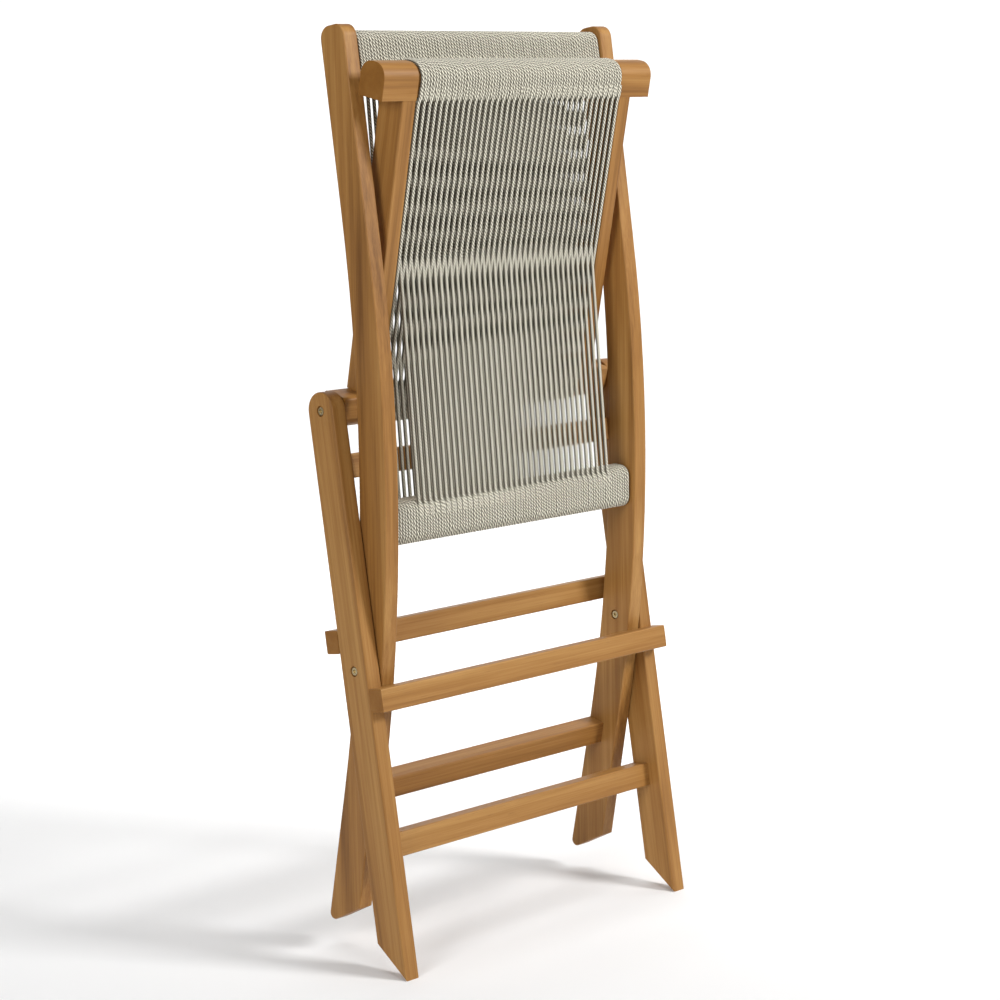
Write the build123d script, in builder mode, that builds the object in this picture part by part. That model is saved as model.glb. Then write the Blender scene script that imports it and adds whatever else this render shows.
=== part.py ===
from build123d import *
from math import atan2, cos, degrees, hypot, radians, sin
import os

os.makedirs("parts", exist_ok=True)

# Folding deck chair, standing upright in its folded position.
# +X is the sitter's left, +Y is the rear of the chair, +Z is up.
# The origin lies on the ground in the middle of the folded outline.

# ---- overall ----
HALF_WIDTH = 260.0          # outer faces of the leg rails
RAIL_THICK = 22.0           # planed thickness of the leg, back and seat rails
LEG_GAP = 1.5               # washer space between leg rail and back rail
SEAT_GAP = 13.3             # space between back rail and seat rail
PIVOT_Y = -5.14             # main pivot axis
PIVOT_Z = 384.71
LEAN = 10.5                 # lean of the folded leg frame, top towards the front
OPEN_ANGLE = 61.0           # swing of the back frame from folded to open
FLOOR_TILT = 32.3           # slope of the leg feet, level once the chair is open
FLOOR_DROP = 273.9          # main pivot above the ground when open

# ---- leg frame ----
LEG_WIDTH = 48.5
HINGE_UP = 330.6            # seat hinge along the leg rail from the main pivot
FIXED_UP = 37.5             # front and rear stretchers, above and below the pivot
FIXED_THICK = 24.0
FIXED_HIGH = 30.0
FOOT_BAR_UP = -229.0
FOOT_BAR_DEEP = 28.0
FOOT_BAR_HIGH = 31.5
TOP_BAR_UP = 257.6
TOP_BAR_HIGH = 31.0
TOP_BAR_DEEP = 24.0

# ---- back frame ----
REAR_CROWN = (36.5, 192.3)  # rearmost point of the rear edge, from the pivot
REAR_RADIUS = 2012.0
REAR_LOW, REAR_HIGH = 9.53, 9.39
FRONT_CROWN = (-14.4, 217.3)
FRONT_RADIUS = 2139.0
FRONT_LOW, FRONT_HIGH = 10.40, 9.52
BACK_TOP = 801.4            # top end, along the upper rail direction
TOP_CORNER = 16.0
TOE_RADIUS = 8.0
CORE_DEEP = 29.5
CORE_HIGH = 48.5
CORE_CORNER = 10.0
LOW_BAR = (8.85, 184.8)
HIGH_BAR = (-54.15, 766.75)
CROSS_DEEP = 28.0
CROSS_HIGH = 30.0
CROSS_TOP = -156.0

# ---- seat frame ----
SEAT_HALF = 22.5            # half the depth of the seat rails
SEAT_REAR_FLAT = 396.0      # rope side of the rear bar, from the hinge
SEAT_REAR_CROWN = 441.0
SEAT_FRONT_FLAT = 20.0
SEAT_FRONT_CROWN = -22.5
SEAT_FRONT_REAR = 18.5      # rear face of the front bar
CROWN_RADIUS = 19.0
SHOULDER = 179.2            # bare ends start here, full size
SHOULDER_STEP = 2.4         # the wound part of the bar is this much thinner all round

# ---- rope ----
ROPE = 4.75                 # wound rope
STRAND = 4.4                # taut strand
PITCH = 9.5                 # strand spacing, two turns of rope per strand
SEAT_STRANDS = 38
BACK_STRANDS = 37
SEAT_WRAP_HALF = 179.0
BACK_WRAP_HALF = 214.0

# ---- hardware ----
BARREL = 8.0                # turning barrel of pivot and hinge
RUNNING = 0.05              # radial running clearance
HEAD = 10.0                 # heads sit in round recesses of the rails
HEAD_THICK = 2.8
SOCKET = 5.0
RECESS = 13.5
RECESS_DEEP = 4.0
EASE = 2.0                  # rounding along the long edges of the timber

leg_in = HALF_WIDTH - RAIL_THICK
back_out = leg_in - LEG_GAP
back_in = back_out - RAIL_THICK
seat_out = back_in - SEAT_GAP
seat_in = seat_out - RAIL_THICK
outer_seat = HALF_WIDTH - RECESS_DEEP + 0.2     # under the bolt heads
inner_seat = back_in + RECESS_DEEP - 0.2        # under the nut heads
hinge_y = PIVOT_Y - HINGE_UP * sin(radians(LEAN))
hinge_z = PIVOT_Z + HINGE_UP * cos(radians(LEAN))


def side_plane(y, z, lean):
    """Plane facing +X whose local +Y leans towards the front by lean degrees."""
    turn = radians(lean)
    return Plane(origin=(0, y, z), x_dir=(0, cos(turn), sin(turn)), z_dir=(1, 0, 0))


LEG = side_plane(PIVOT_Y, PIVOT_Z, LEAN)
BACK = side_plane(PIVOT_Y, PIVOT_Z, 0)
SEAT = side_plane(hinge_y, hinge_z, -LEAN)
BACK_HIGH = side_plane(PIVOT_Y + HIGH_BAR[0], PIVOT_Z + HIGH_BAR[1], REAR_HIGH)
BACK_LOW = side_plane(PIVOT_Y + LOW_BAR[0], PIVOT_Z + LOW_BAR[1], 0)


def floor_hit(point, heading, tilt):
    """Point where a line along heading degrees from +Z meets the floor line."""
    nx, ny = sin(radians(tilt)), cos(radians(tilt))
    dx, dy = -sin(radians(heading)), cos(radians(heading))
    run = (-FLOOR_DROP - nx * point[0] - ny * point[1]) / (nx * dx + ny * dy)
    return (point[0] + run * dx, point[1] + run * dy)


def arc_point(crown, radius, angle):
    """Point on a rail edge arc, angle degrees above the crown."""
    turn = radians(angle)
    return (crown[0] - radius * (1 - cos(turn)), crown[1] + radius * sin(turn))


def top_point(start, lean):
    """Point at the top end of the back rail reached from start."""
    turn = radians(REAR_HIGH)
    dx, dy = -sin(radians(lean)), cos(radians(lean))
    reach = BACK_TOP - (-sin(turn) * start[0] + cos(turn) * start[1])
    run = reach / (sin(turn) * sin(radians(lean)) + cos(turn) * cos(radians(lean)))
    return (start[0] + run * dx, start[1] + run * dy)


def ease_faces(part, amount=EASE):
    """Round the outline edges of the two flat sides of a rail."""
    sides = part.faces().filter_by(Axis.X)
    fillet([edge for face in (sides.sort_by(Axis.X)[0], sides.sort_by(Axis.X)[-1])
            for edge in face.outer_wire().edges()], amount)


def leg_rail(x0, outer):
    """Straight leg rail with a round top, a slanted foot and two recesses outside."""
    half = LEG_WIDTH / 2
    heel = floor_hit((half, 0), 0, FLOOR_TILT + LEAN)
    toe = floor_hit((-half, 0), 0, FLOOR_TILT + LEAN)
    with BuildPart() as rail:
        with BuildSketch(LEG.offset(x0)):
            with BuildLine():
                Polyline((-half, HINGE_UP), toe, heel, (half, HINGE_UP))
                ThreePointArc((half, HINGE_UP), (0, HINGE_UP + half), (-half, HINGE_UP))
            make_face()
        extrude(amount=RAIL_THICK)
        ease_faces(rail)
        with BuildSketch(LEG.offset(x0)):
            with Locations((0, 0), (0, HINGE_UP)):
                Circle(BARREL / 2 + RUNNING)
        extrude(amount=RAIL_THICK, mode=Mode.SUBTRACT)
        with BuildSketch(LEG.offset(outer)):
            with Locations((0, 0), (0, HINGE_UP)):
                Circle(RECESS / 2)
        extrude(amount=RECESS_DEEP, both=True, mode=Mode.SUBTRACT)
    return rail.part


def back_rail(x0, inner):
    """Boomerang back rail, rounded head, slanted foot, one recess inside."""
    tilt = FLOOR_TILT - OPEN_ANGLE
    rear_low = arc_point(REAR_CROWN, REAR_RADIUS, -REAR_LOW)
    rear_high = arc_point(REAR_CROWN, REAR_RADIUS, REAR_HIGH)
    front_low = arc_point(FRONT_CROWN, FRONT_RADIUS, -FRONT_LOW)
    front_high = arc_point(FRONT_CROWN, FRONT_RADIUS, FRONT_HIGH)
    heel = floor_hit(rear_low, -REAR_LOW, tilt)
    toe = floor_hit(front_low, -FRONT_LOW, tilt)
    rear_top = top_point(rear_high, REAR_HIGH)
    front_top = top_point(front_high, FRONT_HIGH)
    with BuildPart() as rail:
        with BuildSketch(BACK.offset(x0)) as outline:
            with BuildLine():
                Line(heel, rear_low)
                ThreePointArc(rear_low, REAR_CROWN, rear_high)
                Polyline(rear_high, rear_top, front_top, front_high)
                ThreePointArc(front_high, FRONT_CROWN, front_low)
                Polyline(front_low, toe, heel)
            make_face()
            fillet(outline.vertices().group_by(Axis.Y)[-1]
                   + outline.vertices().group_by(Axis.Y)[-2], TOP_CORNER)
            fillet(outline.vertices().sort_by(Axis.Y)[0], TOE_RADIUS)
        extrude(amount=RAIL_THICK)
        ease_faces(rail)
        with BuildSketch(BACK.offset(x0)):
            Circle(BARREL / 2 + RUNNING)
        extrude(amount=RAIL_THICK, mode=Mode.SUBTRACT)
        with BuildSketch(BACK.offset(inner)):
            Circle(RECESS / 2)
        extrude(amount=RECESS_DEEP, both=True, mode=Mode.SUBTRACT)
    return rail.part


def seat_rail(x0):
    """Straight seat side rail between the two seat bars."""
    with BuildPart() as rail:
        with BuildSketch(SEAT.offset(x0)):
            with Locations((0, (SEAT_FRONT_FLAT + SEAT_REAR_FLAT) / 2)):
                Rectangle(2 * SEAT_HALF, SEAT_REAR_FLAT - SEAT_FRONT_FLAT)
        extrude(amount=RAIL_THICK)
        fillet(rail.edges().filter_by(Axis((0, 0, 0), SEAT.y_dir)), EASE)
    return rail.part


def stretcher(plane, half, deep, high, place):
    """Rectangular cross piece with eased long edges."""
    with BuildPart() as bar:
        with BuildSketch(plane.offset(-half)):
            with Locations(place):
                RectangleRounded(deep, high, EASE)
        extrude(amount=2 * half)
    return bar.part


def seat_bar_outline(front, rear, flat, crown, ease_front, ease_rear, inset=0.0):
    """Arch shaped section: flat on the rope side, rounded on the other."""
    front, rear = front + inset, rear - inset
    up = inset if crown > flat else -inset
    flat, crown = flat + up, crown - up
    with BuildSketch() as outline:
        with BuildLine():
            Polyline((front, flat), (rear, flat), (rear, crown), (front, crown), close=True)
        make_face()
        rows = outline.vertices().group_by(Axis.Y)
        round_row, flat_row = (rows[-1], rows[0]) if crown > flat else (rows[0], rows[-1])
        fillet(round_row, CROWN_RADIUS - inset)
        flat_row = outline.vertices().filter_by(lambda v: abs(v.Y - flat) < 0.01)
        fillet(flat_row.sort_by(Axis.X)[0], ease_front)
        flat_row = outline.vertices().filter_by(lambda v: abs(v.Y - flat) < 0.01)
        fillet(flat_row.sort_by(Axis.X)[-1], ease_rear)
    return outline.sketch


def back_bar_outline(grow=0.0):
    """Rounded section of the two rope carrying bars of the back."""
    with BuildSketch() as outline:
        RectangleRounded(CORE_DEEP + 2 * grow, CORE_HIGH + 2 * grow, CORE_CORNER + grow)
    return outline.sketch


def bar(plane, half, section):
    """Extrude a section symmetrically across the chair."""
    with BuildPart() as solid:
        with BuildSketch(plane.offset(-half)):
            add(section)
        extrude(amount=2 * half)
    return solid.part


def shouldered_bar(half, end_section, section):
    """Seat bar with full size bare ends and a thinner part for the rope."""
    with BuildPart() as solid:
        with BuildSketch(SEAT.offset(-SHOULDER)):
            add(section)
        extrude(amount=2 * SHOULDER)
        for start in (-half, SHOULDER):
            with BuildSketch(SEAT.offset(start)):
                add(end_section)
            extrude(amount=half - SHOULDER)
    return solid.part


def sleeve(plane, half, section):
    """Turns of rope wound side by side around a bar, as one sleeve."""
    with BuildPart() as wound:
        with BuildSketch(plane.offset(-half)):
            add(section)
            offset(amount=ROPE, kind=Kind.ARC)
            add(section, mode=Mode.SUBTRACT)
        extrude(amount=2 * half)
    return wound.part


def strands(start, end, count, cuts):
    """Row of taut strands between two points, trimmed at the wound bars."""
    run = (end[0] - start[0], end[1] - start[1])
    length = hypot(*run)
    mid = (0, (start[0] + end[0]) / 2, (start[1] + end[1]) / 2)
    across = Plane(origin=mid, x_dir=(1, 0, 0), z_dir=(0, run[0], run[1]))
    with BuildPart() as row:
        with BuildSketch(across):
            with GridLocations(PITCH, PITCH, count, 1):
                Circle(STRAND / 2)
        extrude(amount=length / 2, both=True)
        for plane, section in cuts:
            with BuildSketch(plane.offset(-HALF_WIDTH)):
                add(section)
                offset(amount=ROPE + RUNNING, kind=Kind.ARC)
            extrude(amount=2 * HALF_WIDTH, mode=Mode.SUBTRACT)
    return row.part


def world(plane, x, y):
    """Ground coordinates (Y, Z) of a local point of a side plane."""
    spot = plane.from_local_coords(Vector(x, y, 0))
    return (spot.Y, spot.Z)


seat_rear_end = seat_bar_outline(-SEAT_HALF, SEAT_HALF, SEAT_REAR_FLAT,
                                 SEAT_REAR_CROWN, 5.0, 0.5)
seat_front_end = seat_bar_outline(-SEAT_HALF, SEAT_FRONT_REAR, SEAT_FRONT_FLAT,
                                  SEAT_FRONT_CROWN, 5.0, 5.0)
seat_rear_section = seat_bar_outline(-SEAT_HALF, SEAT_HALF, SEAT_REAR_FLAT,
                                     SEAT_REAR_CROWN, 3.0, 3.0, SHOULDER_STEP)
seat_front_section = seat_bar_outline(-SEAT_HALF, SEAT_FRONT_REAR, SEAT_FRONT_FLAT,
                                      SEAT_FRONT_CROWN, 3.0, 3.0, SHOULDER_STEP)
back_section = back_bar_outline()
panel_lean = degrees(atan2(LOW_BAR[0] - HIGH_BAR[0], HIGH_BAR[1] - LOW_BAR[1]))


def reach(lean):
    """Distance from a back bar's middle to its face at a relative lean."""
    turn = radians(abs(lean))
    return ((CORE_DEEP / 2 - CORE_CORNER) * cos(turn)
            + (CORE_HIGH / 2 - CORE_CORNER) * sin(turn) + CORE_CORNER)


low_reach = reach(panel_lean) + ROPE / 2
high_reach = reach(REAR_HIGH - panel_lean) + ROPE / 2
panel_x, panel_z = cos(radians(panel_lean)), sin(radians(panel_lean))


corner_up = CORE_HIGH / 2 - CORE_CORNER


def panel_end(spot, distance, up):
    """Point beside a back bar, distance to the rear and up along the panel."""
    return (PIVOT_Y + spot[0] + distance * panel_x - up * panel_z,
            PIVOT_Z + spot[1] + distance * panel_z + up * panel_x)


# ---------------- leg frame ----------------
with BuildPart() as leg_rail_left:
    add(leg_rail(leg_in, HALF_WIDTH))
with BuildPart() as leg_rail_right:
    add(leg_rail(-HALF_WIDTH, -HALF_WIDTH))

fixed_face = LEG_WIDTH / 2 + FIXED_THICK / 2
with BuildPart() as leg_front_stretcher:
    add(stretcher(LEG, HALF_WIDTH, FIXED_THICK, FIXED_HIGH, (-fixed_face, FIXED_UP)))
with BuildPart() as leg_rear_stretcher:
    add(stretcher(LEG, HALF_WIDTH, FIXED_THICK, FIXED_HIGH, (fixed_face, -FIXED_UP)))
with BuildPart() as leg_foot_stretcher:
    add(stretcher(LEG, leg_in, FOOT_BAR_DEEP, FOOT_BAR_HIGH,
                  (-(LEG_WIDTH - FOOT_BAR_DEEP) / 2, FOOT_BAR_UP)))
with BuildPart() as leg_top_stretcher:
    add(stretcher(LEG, leg_in, TOP_BAR_DEEP, TOP_BAR_HIGH, (0, TOP_BAR_UP)))

# ---------------- back frame ----------------
with BuildPart() as back_rail_left:
    add(back_rail(back_in, back_in))
with BuildPart() as back_rail_right:
    add(back_rail(-back_out, -back_in))

cross_plane = side_plane(PIVOT_Y, PIVOT_Z, -FRONT_LOW)
front_low = arc_point(FRONT_CROWN, FRONT_RADIUS, -FRONT_LOW)
turn = radians(FRONT_LOW)
cross_face = front_low[0] * cos(turn) - front_low[1] * sin(turn)
with BuildPart() as back_stretcher:
    add(stretcher(cross_plane, back_in, CROSS_DEEP, CROSS_HIGH,
                  (cross_face + CROSS_DEEP / 2, CROSS_TOP - CROSS_HIGH / 2 - 4.0)))
with BuildPart() as back_top_bar:
    add(bar(BACK_HIGH, back_in, back_section))
with BuildPart() as back_bottom_bar:
    add(bar(BACK_LOW, back_in, back_section))

# ---------------- seat frame ----------------
with BuildPart() as seat_rail_left:
    add(seat_rail(seat_in))
with BuildPart() as seat_rail_right:
    add(seat_rail(-seat_out))
with BuildPart() as seat_rear_bar:
    add(shouldered_bar(back_out - 1.5, seat_rear_end, seat_rear_section))

hinge_tip = 198.0
with BuildPart() as seat_front_bar:
    add(shouldered_bar(leg_in - 1.0, seat_front_end, seat_front_section))
    for end in (hinge_tip - 1.0, -leg_in):
        with BuildSketch(SEAT.offset(end)):
            Circle(3.0)
        extrude(amount=leg_in - hinge_tip + 1.0, mode=Mode.SUBTRACT)

# ---------------- rope ----------------
with BuildPart() as back_top_wrap:
    add(sleeve(BACK_HIGH, BACK_WRAP_HALF, back_section))
with BuildPart() as back_bottom_wrap:
    add(sleeve(BACK_LOW, BACK_WRAP_HALF, back_section))
with BuildPart() as seat_rear_wrap:
    add(sleeve(SEAT, SEAT_WRAP_HALF, seat_rear_section))
with BuildPart() as seat_front_wrap:
    add(sleeve(SEAT, SEAT_WRAP_HALF, seat_front_section))

back_cuts = [(BACK_LOW, back_section), (BACK_HIGH, back_section)]
with BuildPart() as back_strands_rear:
    add(strands(panel_end(LOW_BAR, low_reach, corner_up),
                panel_end(HIGH_BAR, high_reach, -corner_up), BACK_STRANDS, back_cuts))
with BuildPart() as back_strands_front:
    add(strands(panel_end(LOW_BAR, -low_reach, -corner_up),
                panel_end(HIGH_BAR, -high_reach, corner_up), BACK_STRANDS, back_cuts))

seat_cuts = [(SEAT, seat_front_section), (SEAT, seat_rear_section)]
seat_start, seat_end = SEAT_FRONT_FLAT - 6.0, SEAT_REAR_FLAT + 3.0
rope_line = ROPE / 2 - SHOULDER_STEP
upper_face = -SEAT_HALF - rope_line
with BuildPart() as seat_strands_upper:
    add(strands(world(SEAT, upper_face, seat_start), world(SEAT, upper_face, seat_end),
                SEAT_STRANDS, seat_cuts))
with BuildPart() as seat_strands_lower:
    add(strands(world(SEAT, SEAT_FRONT_REAR + rope_line, seat_start),
                world(SEAT, SEAT_HALF + rope_line, seat_end), SEAT_STRANDS, seat_cuts))


# ---------------- hardware ----------------
def turned(side, y, z, lengths):
    """Round part about the X axis from (near, far, diameter) steps of one side."""
    with BuildPart() as piece:
        for start, stop, size in lengths:
            with BuildSketch(side_plane(y, z, 0).offset(side * start)):
                Circle(size / 2)
            extrude(amount=side * (stop - start))
    return piece.part


def with_socket(body, side, y, z, mouth, deep, inward):
    """Cut a hexagon key socket into a bolt head."""
    with BuildPart() as piece:
        add(body)
        with BuildSketch(side_plane(y, z, 0).offset(side * mouth)):
            RegularPolygon(SOCKET / 2, 6, major_radius=False)
        extrude(amount=side * inward * deep, mode=Mode.SUBTRACT)
    return piece.part


def pivot_bolt(side):
    """Connector bolt: head sunk in the leg rail, thread in the nut barrel."""
    body = turned(side, PIVOT_Y, PIVOT_Z,
                  [(outer_seat, outer_seat + HEAD_THICK, HEAD), (250.1, outer_seat, BARREL),
                   (228.0, 250.1, 5.0)])
    return with_socket(body, side, PIVOT_Y, PIVOT_Z, outer_seat + HEAD_THICK, 2.0, -1)


def pivot_nut(side):
    """Connector nut: head sunk in the back rail, barrel through both rails."""
    body = turned(side, PIVOT_Y, PIVOT_Z,
                  [(inner_seat - HEAD_THICK, inner_seat, HEAD), (inner_seat, 250.0, BARREL)])
    with BuildPart() as piece:
        add(body)
        with BuildSketch(side_plane(PIVOT_Y, PIVOT_Z, 0).offset(side * 227.0)):
            Circle(2.55)
        extrude(amount=side * 23.0, mode=Mode.SUBTRACT)
    return with_socket(piece.part, side, PIVOT_Y, PIVOT_Z, inner_seat - HEAD_THICK, 2.0, 1)


def hinge_bolt(side):
    """Hinge bolt: recessed head, barrel turning in the leg rail, thread in the seat bar."""
    body = turned(side, hinge_y, hinge_z,
                  [(outer_seat, outer_seat + HEAD_THICK, HEAD),
                   (leg_in - 0.95, outer_seat, BARREL),
                   (hinge_tip, leg_in - 0.95, 6.0 - 0.02)])
    return with_socket(body, side, hinge_y, hinge_z, outer_seat + HEAD_THICK, 2.0, -1)


def washer(side, y, z, near, far, size):
    """Flat washer."""
    with BuildPart() as ring:
        with BuildSketch(side_plane(y, z, 0).offset(side * near)):
            Circle(size / 2)
            Circle(BARREL / 2 + 0.2, mode=Mode.SUBTRACT)
        extrude(amount=side * (far - near))
    return ring.part


with BuildPart() as pivot_bolt_left:
    add(pivot_bolt(1))
with BuildPart() as pivot_bolt_right:
    add(pivot_bolt(-1))
with BuildPart() as pivot_nut_left:
    add(pivot_nut(1))
with BuildPart() as pivot_nut_right:
    add(pivot_nut(-1))
with BuildPart() as pivot_washer_left:
    add(washer(1, PIVOT_Y, PIVOT_Z, back_out + 0.15, leg_in, 20.0))
with BuildPart() as pivot_washer_right:
    add(washer(-1, PIVOT_Y, PIVOT_Z, back_out + 0.15, leg_in, 20.0))
with BuildPart() as hinge_bolt_left:
    add(hinge_bolt(1))
with BuildPart() as hinge_bolt_right:
    add(hinge_bolt(-1))
with BuildPart() as hinge_washer_left:
    add(washer(1, hinge_y, hinge_z, leg_in - 1.0, leg_in - 0.15, 18.0))
with BuildPart() as hinge_washer_right:
    add(washer(-1, hinge_y, hinge_z, leg_in - 1.0, leg_in - 0.15, 18.0))

# ---------------- export ----------------
leg_rail_left.part.label = "leg_rail_left"
export_step(leg_rail_left.part, "parts/leg_rail_left.step")
leg_rail_right.part.label = "leg_rail_right"
export_step(leg_rail_right.part, "parts/leg_rail_right.step")
leg_front_stretcher.part.label = "leg_front_stretcher"
export_step(leg_front_stretcher.part, "parts/leg_front_stretcher.step")
leg_rear_stretcher.part.label = "leg_rear_stretcher"
export_step(leg_rear_stretcher.part, "parts/leg_rear_stretcher.step")
leg_foot_stretcher.part.label = "leg_foot_stretcher"
export_step(leg_foot_stretcher.part, "parts/leg_foot_stretcher.step")
leg_top_stretcher.part.label = "leg_top_stretcher"
export_step(leg_top_stretcher.part, "parts/leg_top_stretcher.step")
back_rail_left.part.label = "back_rail_left"
export_step(back_rail_left.part, "parts/back_rail_left.step")
back_rail_right.part.label = "back_rail_right"
export_step(back_rail_right.part, "parts/back_rail_right.step")
back_stretcher.part.label = "back_stretcher"
export_step(back_stretcher.part, "parts/back_stretcher.step")
back_top_bar.part.label = "back_top_bar"
export_step(back_top_bar.part, "parts/back_top_bar.step")
back_bottom_bar.part.label = "back_bottom_bar"
export_step(back_bottom_bar.part, "parts/back_bottom_bar.step")
seat_rail_left.part.label = "seat_rail_left"
export_step(seat_rail_left.part, "parts/seat_rail_left.step")
seat_rail_right.part.label = "seat_rail_right"
export_step(seat_rail_right.part, "parts/seat_rail_right.step")
seat_rear_bar.part.label = "seat_rear_bar"
export_step(seat_rear_bar.part, "parts/seat_rear_bar.step")
seat_front_bar.part.label = "seat_front_bar"
export_step(seat_front_bar.part, "parts/seat_front_bar.step")
back_top_wrap.part.label = "back_top_wrap"
export_step(back_top_wrap.part, "parts/back_top_wrap.step")
back_bottom_wrap.part.label = "back_bottom_wrap"
export_step(back_bottom_wrap.part, "parts/back_bottom_wrap.step")
seat_rear_wrap.part.label = "seat_rear_wrap"
export_step(seat_rear_wrap.part, "parts/seat_rear_wrap.step")
seat_front_wrap.part.label = "seat_front_wrap"
export_step(seat_front_wrap.part, "parts/seat_front_wrap.step")
back_strands_rear.part.label = "back_strands_rear"
export_step(back_strands_rear.part, "parts/back_strands_rear.step")
back_strands_front.part.label = "back_strands_front"
export_step(back_strands_front.part, "parts/back_strands_front.step")
seat_strands_upper.part.label = "seat_strands_upper"
export_step(seat_strands_upper.part, "parts/seat_strands_upper.step")
seat_strands_lower.part.label = "seat_strands_lower"
export_step(seat_strands_lower.part, "parts/seat_strands_lower.step")
pivot_bolt_left.part.label = "pivot_bolt_left"
export_step(pivot_bolt_left.part, "parts/pivot_bolt_left.step")
pivot_bolt_right.part.label = "pivot_bolt_right"
export_step(pivot_bolt_right.part, "parts/pivot_bolt_right.step")
pivot_nut_left.part.label = "pivot_nut_left"
export_step(pivot_nut_left.part, "parts/pivot_nut_left.step")
pivot_nut_right.part.label = "pivot_nut_right"
export_step(pivot_nut_right.part, "parts/pivot_nut_right.step")
pivot_washer_left.part.label = "pivot_washer_left"
export_step(pivot_washer_left.part, "parts/pivot_washer_left.step")
pivot_washer_right.part.label = "pivot_washer_right"
export_step(pivot_washer_right.part, "parts/pivot_washer_right.step")
hinge_bolt_left.part.label = "hinge_bolt_left"
export_step(hinge_bolt_left.part, "parts/hinge_bolt_left.step")
hinge_bolt_right.part.label = "hinge_bolt_right"
export_step(hinge_bolt_right.part, "parts/hinge_bolt_right.step")
hinge_washer_left.part.label = "hinge_washer_left"
export_step(hinge_washer_left.part, "parts/hinge_washer_left.step")
hinge_washer_right.part.label = "hinge_washer_right"
export_step(hinge_washer_right.part, "parts/hinge_washer_right.step")
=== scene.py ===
"""Folding deck chair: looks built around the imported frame, in metres."""
import logging
import math
from dataclasses import dataclass, field
from enum import Enum

import bpy
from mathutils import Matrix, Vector


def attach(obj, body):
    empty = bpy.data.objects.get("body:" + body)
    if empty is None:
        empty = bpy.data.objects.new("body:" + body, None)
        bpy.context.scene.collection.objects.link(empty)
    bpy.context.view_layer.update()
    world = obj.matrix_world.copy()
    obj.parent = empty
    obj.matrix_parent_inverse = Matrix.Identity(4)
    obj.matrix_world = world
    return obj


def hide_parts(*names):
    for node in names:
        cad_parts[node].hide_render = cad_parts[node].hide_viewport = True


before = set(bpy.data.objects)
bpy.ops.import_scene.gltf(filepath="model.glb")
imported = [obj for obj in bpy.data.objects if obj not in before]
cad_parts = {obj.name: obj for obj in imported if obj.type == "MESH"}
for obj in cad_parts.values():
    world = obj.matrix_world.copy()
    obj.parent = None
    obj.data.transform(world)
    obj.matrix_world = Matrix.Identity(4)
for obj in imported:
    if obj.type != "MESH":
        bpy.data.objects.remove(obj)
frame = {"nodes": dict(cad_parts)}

log = logging.getLogger("deck_chair")

MM = 0.001

Colour = tuple[float, float, float]
Place = tuple[float, float, float]


class Grain(Enum):
    """Which way the timber's grain runs in a piece."""

    UPRIGHT = "upright"
    ACROSS = "across"


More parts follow.
